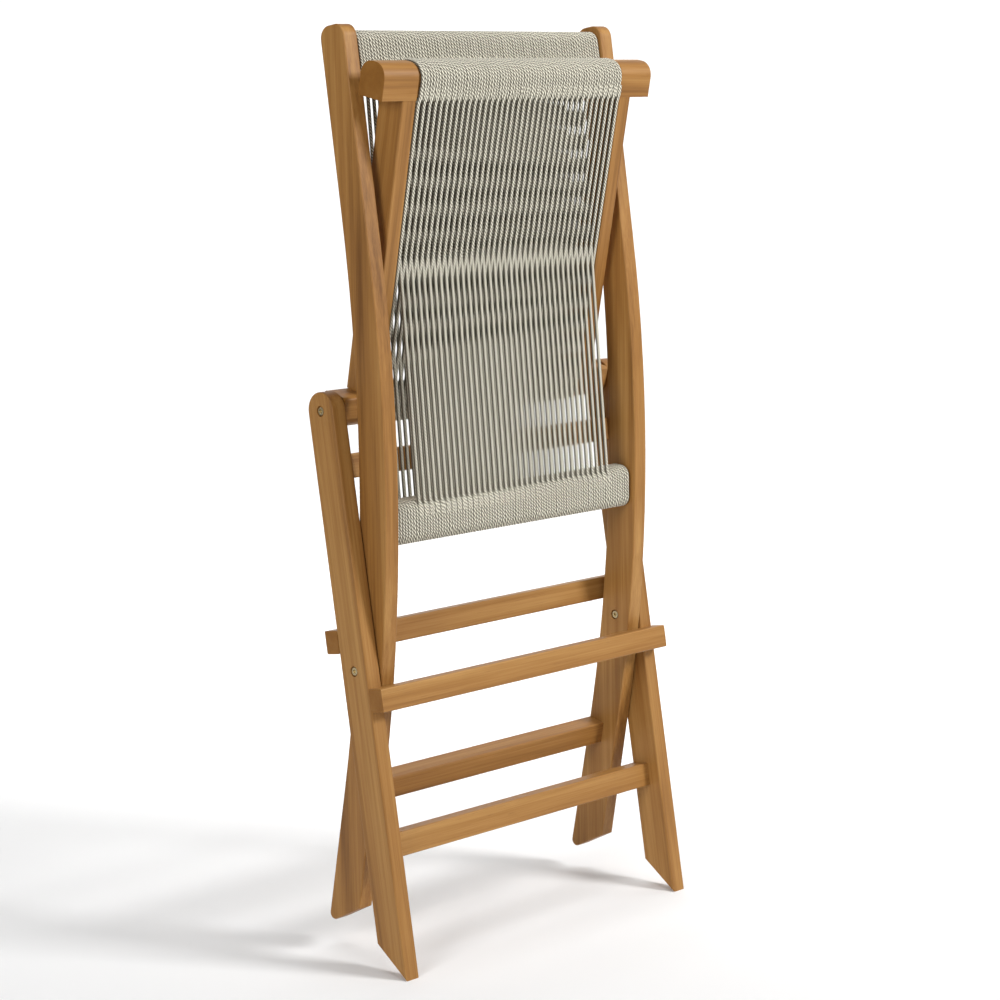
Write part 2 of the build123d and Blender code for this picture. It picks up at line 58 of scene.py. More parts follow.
# ---------------------------------------------------------------- node helpers
class Shader:
    """A material's node tree with short calls for the nodes used here."""

    def __init__(self, name: str) -> None:
        """Start an empty node material.

        Args:
            name: the material's name.
        """
        self.material = bpy.data.materials.new(name)
        self.material.use_nodes = True
        self.tree = self.material.node_tree
        self.tree.nodes.clear()
        output = self.tree.nodes.new("ShaderNodeOutputMaterial")
        self.bsdf = self.tree.nodes.new("ShaderNodeBsdfPrincipled")
        self.tree.links.new(self.bsdf.outputs[0], output.inputs["Surface"])

    def node(self, kind: str, **settings: object) -> bpy.types.Node:
        """Add a node and set its plain properties.

        Args:
            kind: the node's type name.
            settings: properties to set on it.

        Returns:
            The new node.
        """
        made = self.tree.nodes.new(kind)
        for key, value in settings.items():
            setattr(made, key, value)
        return made

    def link(self, source: bpy.types.NodeSocket, target: bpy.types.NodeSocket) -> None:
        """Join two sockets."""
        self.tree.links.new(source, target)

    def math(self, operation: str, first: object, second: object = 0.0,
             clamp: bool = False) -> bpy.types.NodeSocket:
        """Add a math node.

        Args:
            operation: the math operation.
            first: a socket or a number.
            second: a socket or a number.
            clamp: whether the result is held between 0 and 1.

        Returns:
            The result socket.
        """
        made = self.node("ShaderNodeMath", operation=operation, use_clamp=clamp)
        for socket, value in zip(made.inputs, (first, second)):
            if isinstance(value, bpy.types.NodeSocket):
                self.link(value, socket)
            else:
                socket.default_value = value
        return made.outputs[0]

    def noise(self, vector: bpy.types.NodeSocket, scale: float, detail: float,
              roughness: float = 0.55, distortion: float = 0.0) -> bpy.types.NodeSocket:
        """Add a noise texture and return its value socket."""
        made = self.node("ShaderNodeTexNoise")
        self.link(vector, made.inputs["Vector"])
        made.inputs["Scale"].default_value = scale
        made.inputs["Detail"].default_value = detail
        made.inputs["Roughness"].default_value = roughness
        made.inputs["Distortion"].default_value = distortion
        return made.outputs[0]

    def ramp(self, value: bpy.types.NodeSocket,
             stops: list[tuple[float, Colour]]) -> bpy.types.NodeSocket:
        """Add a colour ramp.

        Args:
            value: the socket that drives it.
            stops: positions with linear colours.

        Returns:
            The colour socket.
        """
        made = self.node("ShaderNodeValToRGB")
        band = made.color_ramp
        while len(band.elements) < len(stops):
            band.elements.new(0.5)
        for element, (place, colour) in zip(band.elements, stops):
            element.position = place
            element.color = (*colour, 1.0)
        self.link(value, made.inputs[0])
        return made.outputs[0]

    def mix(self, amount: object, first: object, second: object,
            blend: str = "MIX") -> bpy.types.NodeSocket:
        """Mix two colours.

        Args:
            amount: how much of the second, a socket or a number.
            first: a socket or a linear colour.
            second: a socket or a linear colour.
            blend: the blend type.

        Returns:
            The colour socket.
        """
        made = self.node("ShaderNodeMix", data_type="RGBA", blend_type=blend)
        for socket, value in ((made.inputs[0], amount), (made.inputs[6], first),
                              (made.inputs[7], second)):
            if isinstance(value, bpy.types.NodeSocket):
                self.link(value, socket)
            elif isinstance(value, tuple):
                socket.default_value = (*value, 1.0)
            else:
                socket.default_value = value
        return made.outputs[2]

    def bump(self, height: bpy.types.NodeSocket, strength: float, distance: float) -> None:
        """Drive the surface's normal with a height."""
        made = self.node("ShaderNodeBump")
        made.inputs["Strength"].default_value = strength
        made.inputs["Distance"].default_value = distance
        self.link(height, made.inputs["Height"])
        self.link(made.outputs[0], self.bsdf.inputs["Normal"])


# ---------------------------------------------------------------- finishes
@dataclass(frozen=True)
class Streaks:
    """One scale of a timber's grain.

    Args:
        across: noise scale per metre across the grain.
        along: noise scale per metre along the grain.
        detail: the noise's detail.
        roughness: the noise's roughness.
        distortion: how much the noise wanders.
        weight: its share in the timber's tone.
    """

    across: float
    along: float
    detail: float
    roughness: float
    distortion: float = 0.0
    weight: float = 0.0


@dataclass(frozen=True)
class TeakFinish:
    """Oiled teak with straight, streaky grain along one direction of a piece."""

    name: str
    grain: Grain = Grain.UPRIGHT
    lean: float = 0.0
    seed: float = 0.0
    tone: float = 0.0
    dark: Colour = (0.165, 0.066, 0.013)
    mid: Colour = (0.330, 0.153, 0.037)
    light: Colour = (0.455, 0.243, 0.073)
    end: Colour = (0.230, 0.088, 0.007)
    board: Streaks = Streaks(26.0, 1.3, 3.0, 0.5, 0.6, 0.52)
    streak: Streaks = Streaks(120.0, 2.6, 5.0, 0.6, 0.25, 0.38)
    fibre: Streaks = Streaks(620.0, 9.0, 3.0, 0.6, 0.0, 0.20)
    pore: Streaks = Streaks(900.0, 26.0, 2.0, 0.5)
    seed_steps: Place = (1.37, 0.73, 1.0)
    tone_shift: float = -0.04
    stops: tuple[float, float, float] = (0.33, 0.50, 0.66)
    pore_from: float = 0.69
    pore_tint: float = 0.30
    end_facing: tuple[float, float] = (0.62, 0.92)
    end_tint: float = 0.72
    roughness: float = 0.40
    streak_roughness: float = 0.16
    specular: float = 0.3
    relief: float = 0.35
    relief_depth: float = 0.25 * MM

    def layer(self, s: Shader, along: bpy.types.NodeSocket,
              streaks: Streaks) -> bpy.types.NodeSocket:
        """Add noise stretched along the grain.

        Args:
            s: the material's shader.
            along: coordinates whose Z runs with the grain.
            streaks: the scale of grain to add.

        Returns:
            The noise's value socket.
        """
        scale = s.node("ShaderNodeMapping", vector_type="POINT")
        scale.inputs["Scale"].default_value = (streaks.across, streaks.across, streaks.along)
        s.link(along, scale.inputs["Vector"])
        return s.noise(scale.outputs[0], 1.0, streaks.detail, streaks.roughness,
                       streaks.distortion)

    def build(self) -> bpy.types.Material:
        """Build the material.

        Returns:
            The teak material for one piece.
        """
        s = Shader(self.name)
        lean = math.radians(self.lean)
        upright = self.grain is Grain.UPRIGHT
        place = s.node("ShaderNodeTexCoord")
        turn = s.node("ShaderNodeMapping", vector_type="POINT")
        s.link(place.outputs["Object"], turn.inputs["Vector"])
        turn.inputs["Rotation"].default_value = (
            (-lean, 0.0, 0.0) if upright else (0.0, math.radians(90.0), 0.0))
        turn.inputs["Location"].default_value = [self.seed * step for step in self.seed_steps]

        board, streak, fibre, pore = (
            self.layer(s, turn.outputs[0], streaks)
            for streaks in (self.board, self.streak, self.fibre, self.pore))
        body = s.math("ADD", s.math("MULTIPLY", board, self.board.weight),
                      s.math("MULTIPLY", streak, self.streak.weight))
        body = s.math("ADD", body, s.math("MULTIPLY", fibre, self.fibre.weight))
        body = s.math("ADD", body, self.tone + self.tone_shift)
        colour = s.ramp(body, list(zip(self.stops, (self.dark, self.mid, self.light))))
        pores = s.math("GREATER_THAN", pore, self.pore_from)
        colour = s.mix(s.math("MULTIPLY", pores, self.pore_tint), colour, self.dark)

        facing = s.node("ShaderNodeVectorMath", operation="DOT_PRODUCT")
        s.link(place.outputs["Normal"], facing.inputs[0])
        facing.inputs[1].default_value = (
            (0.0, -math.sin(lean), math.cos(lean)) if upright else (1.0, 0.0, 0.0))
        ends = s.node("ShaderNodeMapRange")
        ends.inputs["From Min"].default_value, ends.inputs["From Max"].default_value = (
            self.end_facing)
        s.link(s.math("ABSOLUTE", facing.outputs["Value"]), ends.inputs[0])
        colour = s.mix(s.math("MULTIPLY", ends.outputs[0], self.end_tint), colour, self.end)
        s.link(colour, s.bsdf.inputs["Base Color"])

        rough = s.math("ADD", s.math("MULTIPLY", streak, self.streak_roughness), self.roughness)
        s.link(rough, s.bsdf.inputs["Roughness"])
        s.bsdf.inputs["Specular IOR Level"].default_value = self.specular
        height = s.math("SUBTRACT", s.math("MULTIPLY", fibre, 0.5), s.math("MULTIPLY", pores, 0.5))
        s.bump(height, self.relief, self.relief_depth)
        return s.material


@dataclass(frozen=True)
class CordFinish:
    """Twisted outdoor cord: pale plies with painted shade in the grooves between them.

    Args:
        name: the material's name.
        plies: how many plies show round the cord.
        step: distance between grooves along the cord.
        pale, shade, crease_shade: the lit and shaded colours, and the painted shade of the grooves
            and seams.
        evenness: how little the shade shows.
        crease_shade_edge: how sharply a ply turns into the painted shade of its groove.
        crease_shade_depth: the least darkness of the painted groove shade, before the fuzz adds to
            it.
        seam_shade: how dark the painted shade in the line between two turns is.
        seam_shade_facing: how far a side has to face along the bar to lie in that painted shade.
        fuzz_scale, drift_scale: noise scales per metre of the fibres and of the shade.
        fuzz_relief: the fibres' share in the relief.
        relief, relief_depth: strength and depth of the relief.
    """

    name: str = "cord_weave"
    plies: float = 4.0
    step: float = 4.4 * MM
    pale: Colour = (0.930, 0.890, 0.745)
    shade: Colour = (0.680, 0.620, 0.475)
    # painted shade for the grooves between plies and the seams between turns
    crease_shade: Colour = (0.060, 0.050, 0.032)
    evenness: float = 0.65
    crease_shade_edge: float = 1.25
    crease_shade_depth: float = 0.8
    # painted shade where neighbouring turns and strands touch
    seam_shade: float = 0.85
    seam_shade_facing: float = 0.72
    fuzz_scale: float = 900.0
    drift_scale: float = 26.0
    fuzz_relief: float = 0.12
    relief: float = 1.0
    relief_depth: float = 0.9 * MM

    def build(self) -> bpy.types.Material:
        """Build the material from the cord's own run and turn attributes.

        Returns:
            The cord material.
        """
        s = Shader(self.name)
        run = s.node("ShaderNodeAttribute", attribute_name="run")
        turn = s.node("ShaderNodeAttribute", attribute_name="turn")
        parts = s.node("ShaderNodeSeparateXYZ")
        s.link(turn.outputs["Vector"], parts.inputs[0])
        angle = s.math("ARCTAN2", parts.outputs[1], parts.outputs[0])
        phase = s.math("ADD", s.math("MULTIPLY", angle, self.plies / 2.0),
                       s.math("MULTIPLY", run.outputs["Fac"], math.pi / self.step))
        ply = s.math("ABSOLUTE", s.math("SINE", phase))
        # painted shade in the grooves between the plies, following the twist
        crease_shade = s.math("POWER", s.math("SUBTRACT", 1.0, ply), self.crease_shade_edge)
        place = s.node("ShaderNodeTexCoord")
        fuzz = s.noise(place.outputs["Object"], self.fuzz_scale, 2.0)
        drift = s.noise(place.outputs["Object"], self.drift_scale, 2.0)
        pale = s.mix(self.evenness, s.mix(drift, self.shade, self.pale), self.pale)
        dark = s.math("MULTIPLY", crease_shade, s.math("ADD", fuzz, self.crease_shade_depth), True)
        colour = s.mix(dark, pale, self.crease_shade)

        # painted shade on the sides that face along the bar, where turns and strands touch
        sides = s.node("ShaderNodeSeparateXYZ")
        s.link(place.outputs["Normal"], sides.inputs[0])
        seam_shade = s.node("ShaderNodeMapRange")
        seam_shade.inputs["From Min"].default_value = self.seam_shade_facing
        seam_shade.inputs["From Max"].default_value = 1.0
        s.link(s.math("ABSOLUTE", sides.outputs[0]), seam_shade.inputs[0])
        colour = s.mix(s.math("MULTIPLY", seam_shade.outputs[0], self.seam_shade), colour, self.crease_shade)
        s.link(colour, s.bsdf.inputs["Base Color"])

        s.bsdf.inputs["Roughness"].default_value = 0.82
        s.bsdf.inputs["Specular IOR Level"].default_value = 0.25
        s.bsdf.inputs["Sheen Weight"].default_value = 0.12
        s.bump(s.math("ADD", ply, s.math("MULTIPLY", fuzz, self.fuzz_relief)), self.relief,
               self.relief_depth)
        return s.material


@dataclass(frozen=True)
class BrassFinish:
    """Brushed, slightly dulled brass for bolts, nuts and washers."""

    name: str = "dulled_brass"
    bright: Colour = (0.74, 0.62, 0.38)
    dull: Colour = (0.42, 0.33, 0.18)
    cloud_scale: float = 260.0
    scratch_scale: float = 1400.0
    roughness: float = 0.24
    cloud_roughness: float = 0.2
    relief: float = 0.12
    relief_depth: float = 0.1 * MM

    def build(self) -> bpy.types.Material:
        """Build the material.

        Returns:
            The brass material.
        """
        s = Shader(self.name)
        place = s.node("ShaderNodeTexCoord")
        cloud = s.noise(place.outputs["Object"], self.cloud_scale, 4.0)
        s.link(s.mix(cloud, self.dull, self.bright), s.bsdf.inputs["Base Color"])
        s.bsdf.inputs["Metallic"].default_value = 1.0
        rough = s.math("ADD", s.math("MULTIPLY", cloud, self.cloud_roughness), self.roughness)
        s.link(rough, s.bsdf.inputs["Roughness"])
        s.bump(s.noise(place.outputs["Object"], self.scratch_scale, 2.0), self.relief,
               self.relief_depth)
        return s.material


# ---------------------------------------------------------------- geometry trees
class Tree:
    """A geometry node tree with short calls."""

    def __init__(self, name: str, sizes: dict[str, tuple[str, object]]) -> None:
        """Start a tree with a geometry input and named size inputs.

        Args:
            name: the tree's name.
            sizes: input name to (socket type, default).
        """
        self.group = bpy.data.node_groups.new(name, "GeometryNodeTree")
        face = self.group.interface
        face.new_socket("Geometry", in_out="INPUT", socket_type="NodeSocketGeometry")
        for key, (kind, value) in sizes.items():
            socket = face.new_socket(key, in_out="INPUT", socket_type=kind)
            if value is not None:
                socket.default_value = value
        face.new_socket("Geometry", in_out="OUTPUT", socket_type="NodeSocketGeometry")
        self.given = self.group.nodes.new("NodeGroupInput")
        self.result = self.group.nodes.new("NodeGroupOutput")

    def node(self, kind: str, inputs: dict[object, object] | None = None,
             **settings: object) -> bpy.types.Node:
        """Add a node, set its properties and fill its inputs.

        Args:
            kind: the node's type name.
            inputs: socket name or number to a socket or a value.
            settings: plain properties.

        Returns:
            The new node.
        """
        made = self.group.nodes.new(kind)
        for key, value in settings.items():
            setattr(made, key, value)
        for key, value in (inputs or {}).items():
            if isinstance(value, bpy.types.NodeSocket):
                self.group.links.new(value, made.inputs[key])
            else:
                made.inputs[key].default_value = value
        return made

    def math(self, operation: str, first: object, second: object = 0.0) -> bpy.types.NodeSocket:
        """Add a math node and return its result."""
        return self.node("ShaderNodeMath", {0: first, 1: second}, operation=operation).outputs[0]

    def store(self, geometry: bpy.types.NodeSocket, name: str, value: bpy.types.NodeSocket,
              kind: str) -> bpy.types.NodeSocket:
        """Store a named attribute on the points and return the geometry."""
        made = self.node("GeometryNodeStoreNamedAttribute",
                         {"Geometry": geometry, "Name": name, "Value": value},
                         data_type=kind, domain="POINT")
        return made.outputs[0]

    def tube(self, path: bpy.types.NodeSocket, radius: bpy.types.NodeSocket,
             sides: bpy.types.NodeSocket) -> bpy.types.NodeSocket:
        """Turn a path into a cord that knows its angle round the middle.

        Args:
            path: the path, which already stores its run.
            radius: the cord's radius.
            sides: how many sides the cord has.

        Returns:
            The cord's mesh.
        """
        ring = self.node("GeometryNodeCurvePrimitiveCircle",
                         {"Resolution": sides, "Radius": radius})
        share = self.math("DIVIDE", self.node("GeometryNodeInputIndex").outputs[0], sides)
        angle = self.math("MULTIPLY", share, math.tau)
        spot = self.node("ShaderNodeCombineXYZ", {0: self.math("COSINE", angle),
                                                  1: self.math("SINE", angle)})
        marked = self.store(ring.outputs[0], "turn", spot.outputs[0], "FLOAT_VECTOR")
        swept = self.node("GeometryNodeCurveToMesh", {"Curve": path, "Profile Curve": marked,
                                                      "Fill Caps": True})
        smooth = self.node("GeometryNodeSetShadeSmooth", {"Geometry": swept.outputs[0]})
        return smooth.outputs[0]

    def finish(self, geometry: bpy.types.NodeSocket) -> bpy.types.NodeTree:
        """End the tree in Realize Instances and Set Material.

        Args:
            geometry: what the tree has made.

        Returns:
            The finished tree.
        """
        solid = self.node("GeometryNodeRealizeInstances", {"Geometry": geometry})
        finish = self.given.outputs["Finish"]
        painted = self.node("GeometryNodeSetMaterial",
                            {"Geometry": solid.outputs[0], "Material": finish})
        self.group.links.new(painted.outputs[0], self.result.inputs[0])
        return self.group


def value_socket(node: bpy.types.Node) -> bpy.types.NodeSocket:
    """First enabled output of a node whose outputs change with its type."""
    return next(socket for socket in node.outputs if socket.enabled)


def taut_row_tree() -> bpy.types.NodeTree:
    """Tree that repeats one strand's path across the chair and makes it cord.

    Returns:
        The node tree.
    """
    tree = Tree("taut_row", {
        "Count": ("NodeSocketInt", 38), "Spacing": ("NodeSocketFloat", 0.0095),
        "Radius": ("NodeSocketFloat", 0.00235), "Sides": ("NodeSocketInt", 8),
        "Ring Step": ("NodeSocketFloat", 0.003), "Seed": ("NodeSocketInt", 1),
        "Twist Shift": ("NodeSocketFloat", 0.02), "Finish": ("NodeSocketMaterial", None)})
    given = tree.given.outputs
    first = tree.math("MULTIPLY", tree.math("SUBTRACT", given["Count"], 1.0),
                      tree.math("MULTIPLY", given["Spacing"], -0.5))
    line = tree.node("GeometryNodeMeshLine", {
        "Count": given["Count"],
        "Start Location": tree.node("ShaderNodeCombineXYZ", {0: first}).outputs[0],
        "Offset": tree.node("ShaderNodeCombineXYZ", {0: given["Spacing"]}).outputs[0]})
    chance = tree.node("FunctionNodeRandomValue",
                       {2: 0.0, 3: given["Twist Shift"], "Seed": given["Seed"]},
                       data_type="FLOAT")
    spots = tree.store(line.outputs[0], "shift", value_socket(chance), "FLOAT")
    placed = tree.node("GeometryNodeInstanceOnPoints",
                       {"Points": spots, "Instance": given["Geometry"]})
    real = tree.node("GeometryNodeRealizeInstances", {"Geometry": placed.outputs[0]})
    rings = tree.node("GeometryNodeResampleCurve", {"Curve": real.outputs[0],
                                                    "Length": given["Ring Step"]}, mode="LENGTH")
    shift = tree.node("GeometryNodeInputNamedAttribute", {"Name": "shift"}, data_type="FLOAT")
    length = tree.node("GeometryNodeSplineParameter").outputs["Length"]
    run = tree.math("ADD", length, shift.outputs[0])
    path = tree.store(rings.outputs[0], "run", run, "FLOAT")
    return tree.finish(tree.tube(path, given["Radius"], given["Sides"]))


WHOLE_TURN_NUDGE = 0.00001      # keeps a whole turn from reading as the end of the last one


def winding_tree() -> bpy.types.NodeTree:
    """Tree that winds one long cord along a bar, turn beside turn.

    Returns:
        The node tree.
    """
    tree = Tree("winding", {
        "Turns": ("NodeSocketInt", 76), "Pitch": ("NodeSocketFloat", 0.00475),
        "Steps": ("NodeSocketInt", 56), "Girth": ("NodeSocketFloat", 0.18),
        "Radius": ("NodeSocketFloat", 0.00237), "Sides": ("NodeSocketInt", 8),
        "Unevenness": ("NodeSocketFloat", 0.0002), "Twist Drift": ("NodeSocketFloat", 0.03),
        "Finish": ("NodeSocketMaterial", None)})
    given = tree.given.outputs
    points = tree.math("ADD", tree.math("MULTIPLY", given["Turns"], given["Steps"]), 1.0)
    line = tree.node("GeometryNodeMeshLine", {"Count": points})
    path = tree.node("GeometryNodeMeshToCurve", {"Mesh": line.outputs[0]})
    turns = tree.math("DIVIDE", tree.node("GeometryNodeInputIndex").outputs[0], given["Steps"])
    around = tree.math("FRACT", tree.math("ADD", turns, WHOLE_TURN_NUDGE))
    sample = tree.node("GeometryNodeSampleCurve", {"Curves": given["Geometry"], "Factor": around},
                       mode="FACTOR", use_all_curves=True)
    middle = tree.math("MULTIPLY", given["Turns"], 0.5)
    across = tree.math("MULTIPLY", tree.math("SUBTRACT", turns, middle), given["Pitch"])
    wander = tree.node("ShaderNodeTexNoise", {"W": turns, "Scale": 0.9}, noise_dimensions="1D")
    loose = tree.math("MULTIPLY", tree.math("SUBTRACT", wander.outputs[0], 0.5),
                      given["Unevenness"])
    spot = tree.node("ShaderNodeCombineXYZ", {0: tree.math("ADD", across, loose)})
    there = tree.node("ShaderNodeVectorMath", {0: sample.outputs["Position"],
                                               1: spot.outputs[0]}, operation="ADD")
    wound = tree.node("GeometryNodeSetPosition", {"Geometry": path.outputs[0],
                                                  "Position": there.outputs[0]})
    drift = tree.node("ShaderNodeTexNoise", {"W": turns, "Scale": 1.7}, noise_dimensions="1D")
    run = tree.math("ADD", tree.math("MULTIPLY", turns, given["Girth"]),
                    tree.math("MULTIPLY", drift.outputs[0], given["Twist Drift"]))
    marked = tree.store(wound.outputs[0], "run", run, "FLOAT")
    return tree.finish(tree.tube(marked, given["Radius"], given["Sides"]))


def grow(name: str, seed_object: bpy.types.Object, tree: bpy.types.NodeTree,
         sizes: dict[str, object]) -> bpy.types.Object:
    """Run a geometry tree on an object and keep the plain mesh that it makes.

    Args:
        name: the new piece's name.
        seed_object: the object that the tree starts from, which is removed.
        tree: the geometry node tree.
        sizes: values for the tree's named inputs.

    Returns:
        The new piece, at the origin.
    """
    modifier = seed_object.modifiers.new("grow", "NODES")
    modifier.node_group = tree
    for item in tree.interface.items_tree:
        if item.item_type == "SOCKET" and item.in_out == "INPUT" and item.name in sizes:
            modifier[item.identifier] = sizes[item.name]
    seed_object.update_tag()
    bpy.context.view_layer.update()
    graph = bpy.context.evaluated_depsgraph_get()
    mesh = bpy.data.meshes.new_from_object(seed_object.evaluated_get(graph))
    seed_object.modifiers.remove(modifier)
    bpy.data.objects.remove(seed_object)
    mesh.name = name
    piece = bpy.data.objects.new(name, mesh)
    bpy.context.collection.objects.link(piece)
    return piece


def path_object(name: str, points: list[Vector], closed: bool) -> bpy.types.Object:
    """A curve object through the points, straight between them.

    Args:
        name: the object's name.
        points: the points in the chair's own frame.
        closed: whether the curve is a closed ring.

    Returns:
        The curve object.
    """
    data = bpy.data.curves.new(name, "CURVE")
    data.dimensions = "3D"
    spline = data.splines.new("POLY")
    spline.points.add(len(points) - 1)
    for point, place in zip(spline.points, points):
        point.co = (*place, 1.0)
    spline.use_cyclic_u = closed
    made = bpy.data.objects.new(name, data)
    bpy.context.collection.objects.link(made)
    return made


# ---------------------------------------------------------------- sub-assemblies
@dataclass(frozen=True)
class SidePlane:
    """A plane across the chair whose own upward direction leans to the front."""

    y: float
    z: float
    lean: float

    def point(self, rear: float, up: float, x: float = 0.0) -> Vector:
        """Place of a point given its distance to the rear and up in this plane."""
        turn = math.radians(self.lean)
        return Vector((x, self.y + rear * math.cos(turn) - up * math.sin(turn),
                       self.z + rear * math.sin(turn) + up * math.cos(turn)))


@dataclass(frozen=True)
class Layout:
    """Places that the frame and the cord share."""

    pivot_y: float = -5.14 * MM
    pivot_z: float = 384.71 * MM
    lean: float = 10.5
    hinge_up: float = 330.6 * MM

    def seat(self) -> SidePlane:
        """Plane of the seat frame, with its origin on the hinge."""
        turn = math.radians(self.lean)
        return SidePlane(self.pivot_y - self.hinge_up * math.sin(turn),
                         self.pivot_z + self.hinge_up * math.cos(turn), -self.lean)

    def back_bar(self, rear: float, up: float, lean: float) -> SidePlane:
        """Plane of a back bar, with its origin in the bar's middle."""
        return SidePlane(self.pivot_y + rear, self.pivot_z + up, lean)


@dataclass(frozen=True)
class Corner:
    """A rounded corner of a bar's section."""

    rear: float
    up: float
    radius: float


CORNER_STEPS = 8                # straight pieces in a rounded corner


def section_ring(corners: list[Corner], plane: SidePlane, grow_by: float) -> list[Vector]:
    """Ring of points round a bar's section, grown outwards.

    Args:
        corners: the section's corners in order, turning left.
        plane: the bar's plane.
        grow_by: distance outside the section.

    Returns:
        Points of the closed ring.
    """
    ring = []
    count = len(corners)
    for i, corner in enumerate(corners):
        before, after = corners[i - 1], corners[(i + 1) % count]
        d_in = Vector((corner.rear - before.rear, corner.up - before.up)).normalized()
        d_out = Vector((after.rear - corner.rear, after.up - corner.up)).normalized()
        n_in, n_out = Vector((d_in.y, -d_in.x)), Vector((d_out.y, -d_out.x))
        centre = Vector((corner.rear, corner.up)) - (n_in + n_out) * corner.radius
        start = math.atan2(n_in.y, n_in.x)
        sweep = (math.atan2(n_out.y, n_out.x) - start) % math.tau
        reach = corner.radius + grow_by
        for k in range(CORNER_STEPS + 1):
            turn = start + sweep * k / CORNER_STEPS
            ring.append(plane.point(centre.x + reach * math.cos(turn),
                                    centre.y + reach * math.sin(turn)))
    return ring


def ring_length(ring: list[Vector]) -> float:
    """Length round a closed ring of points."""
    return sum((ring[i] - ring[i - 1]).length for i in range(len(ring)))


@dataclass
class CordWork:
    """The wound bars and taut strands of one panel.

    Args:
        body: the moving body that the panel rides on.
        slot: meant for the slot that the cord fills; not used.
        turns: turns of cord on each bar.
        wound_half: half the width over the turns.
        cord: the cord's thickness.
        pull_in: how much of its radius a wound cord keeps.
        turn_steps: straight pieces in one turn.
        unevenness: how far a turn wanders along the bar.
        twist_drift: how far the twist wanders along the cord.
        strands: strands in each layer.
        spacing: distance from strand to strand.
        strand_radius: a strand's radius.
        sides: sides of the cord's section.
        ring_step: distance between sections along a strand.
        join: sideways step from a strand to the turn that it comes from.
        bend: length over which a strand takes that step.
        ease: parts of the bend with the share of the step that is left there.
        finish: the cord's material.
    """

    body: str
    slot: str = "rope"
    turns: int = 75
    wound_half: float = 179.0 * MM
    cord: float = 4.75 * MM
    pull_in: float = 0.955
    turn_steps: int = 56
    unevenness: float = 0.5 * MM
    twist_drift: float = 30 * MM
    strands: int = 38
    spacing: float = 9.5 * MM
    strand_radius: float = 2.4 * MM
    sides: int = 8
    ring_step: float = 3.2 * MM
    join: float = 2.375 * MM
    bend: float = 9.0 * MM
    ease: tuple[tuple[float, float], ...] = ((0.0, 0.96), (0.35, 0.62), (0.7, 0.2), (1.0, 0.0))
    finish: bpy.types.Material | None = None

    def wind(self, node: str, corners: list[Corner], plane: SidePlane,
             tree: bpy.types.NodeTree) -> None:
        """Wind cord on a bar in place of the CAD sleeve.

        Args:
            node: the CAD node replaced.
            corners: the bar's section.
            plane: the bar's plane.
            tree: the winding tree.
        """
        ring = section_ring(corners, plane, self.cord / 2)
        piece = grow(f"{node}_cord", path_object(node + "_ring", ring, True), tree, {
            "Turns": self.turns, "Pitch": (2 * self.wound_half - self.cord) / self.turns,
            "Steps": self.turn_steps, "Girth": ring_length(ring),
            "Radius": self.cord / 2 * self.pull_in, "Sides": self.sides,
            "Unevenness": self.unevenness, "Twist Drift": self.twist_drift,
            "Finish": self.finish})
        self.declare(piece, node)

    def stretch(self, node: str, start: Vector, end: Vector, lead: Vector, tail: Vector,
                seed: int, tree: bpy.types.NodeTree) -> None:
        """Stretch one layer of strands between two bars.

        Args:
            node: the CAD node replaced.
            start: where a strand leaves the first bar.
            end: where it meets the second bar.
            lead: a point before start, inside the first bar's turns.
            tail: a point past end, inside the second bar's turns.
            seed: shifts the twist from strand to strand.
            tree: the row tree.
        """
        run = (end - start).normalized()
        aside = Vector((-self.join, 0.0, 0.0))
        leaving = [start + run * (self.bend * part) + aside * left for part, left in self.ease]
        arriving = [end - run * (self.bend * part) + aside * left for part, left in self.ease]
        points = [lead + aside, *leaving, *reversed(arriving), tail + aside]
        piece = grow(f"{node}_cord", path_object(node + "_path", points, False), tree, {
            "Count": self.strands, "Spacing": self.spacing, "Radius": self.strand_radius,
            "Sides": self.sides, "Ring Step": self.ring_step, "Seed": seed,
            "Finish": self.finish})
        self.declare(piece, node)

    def declare(self, piece: bpy.types.Object, node: str) -> None:
        """Hide the CAD node that the piece stands for and attach the piece to the body that it
        rides on.
        """
        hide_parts(node)
        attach(piece, self.body)
        log.info("%s: %d faces", piece.name, len(piece.data.polygons))


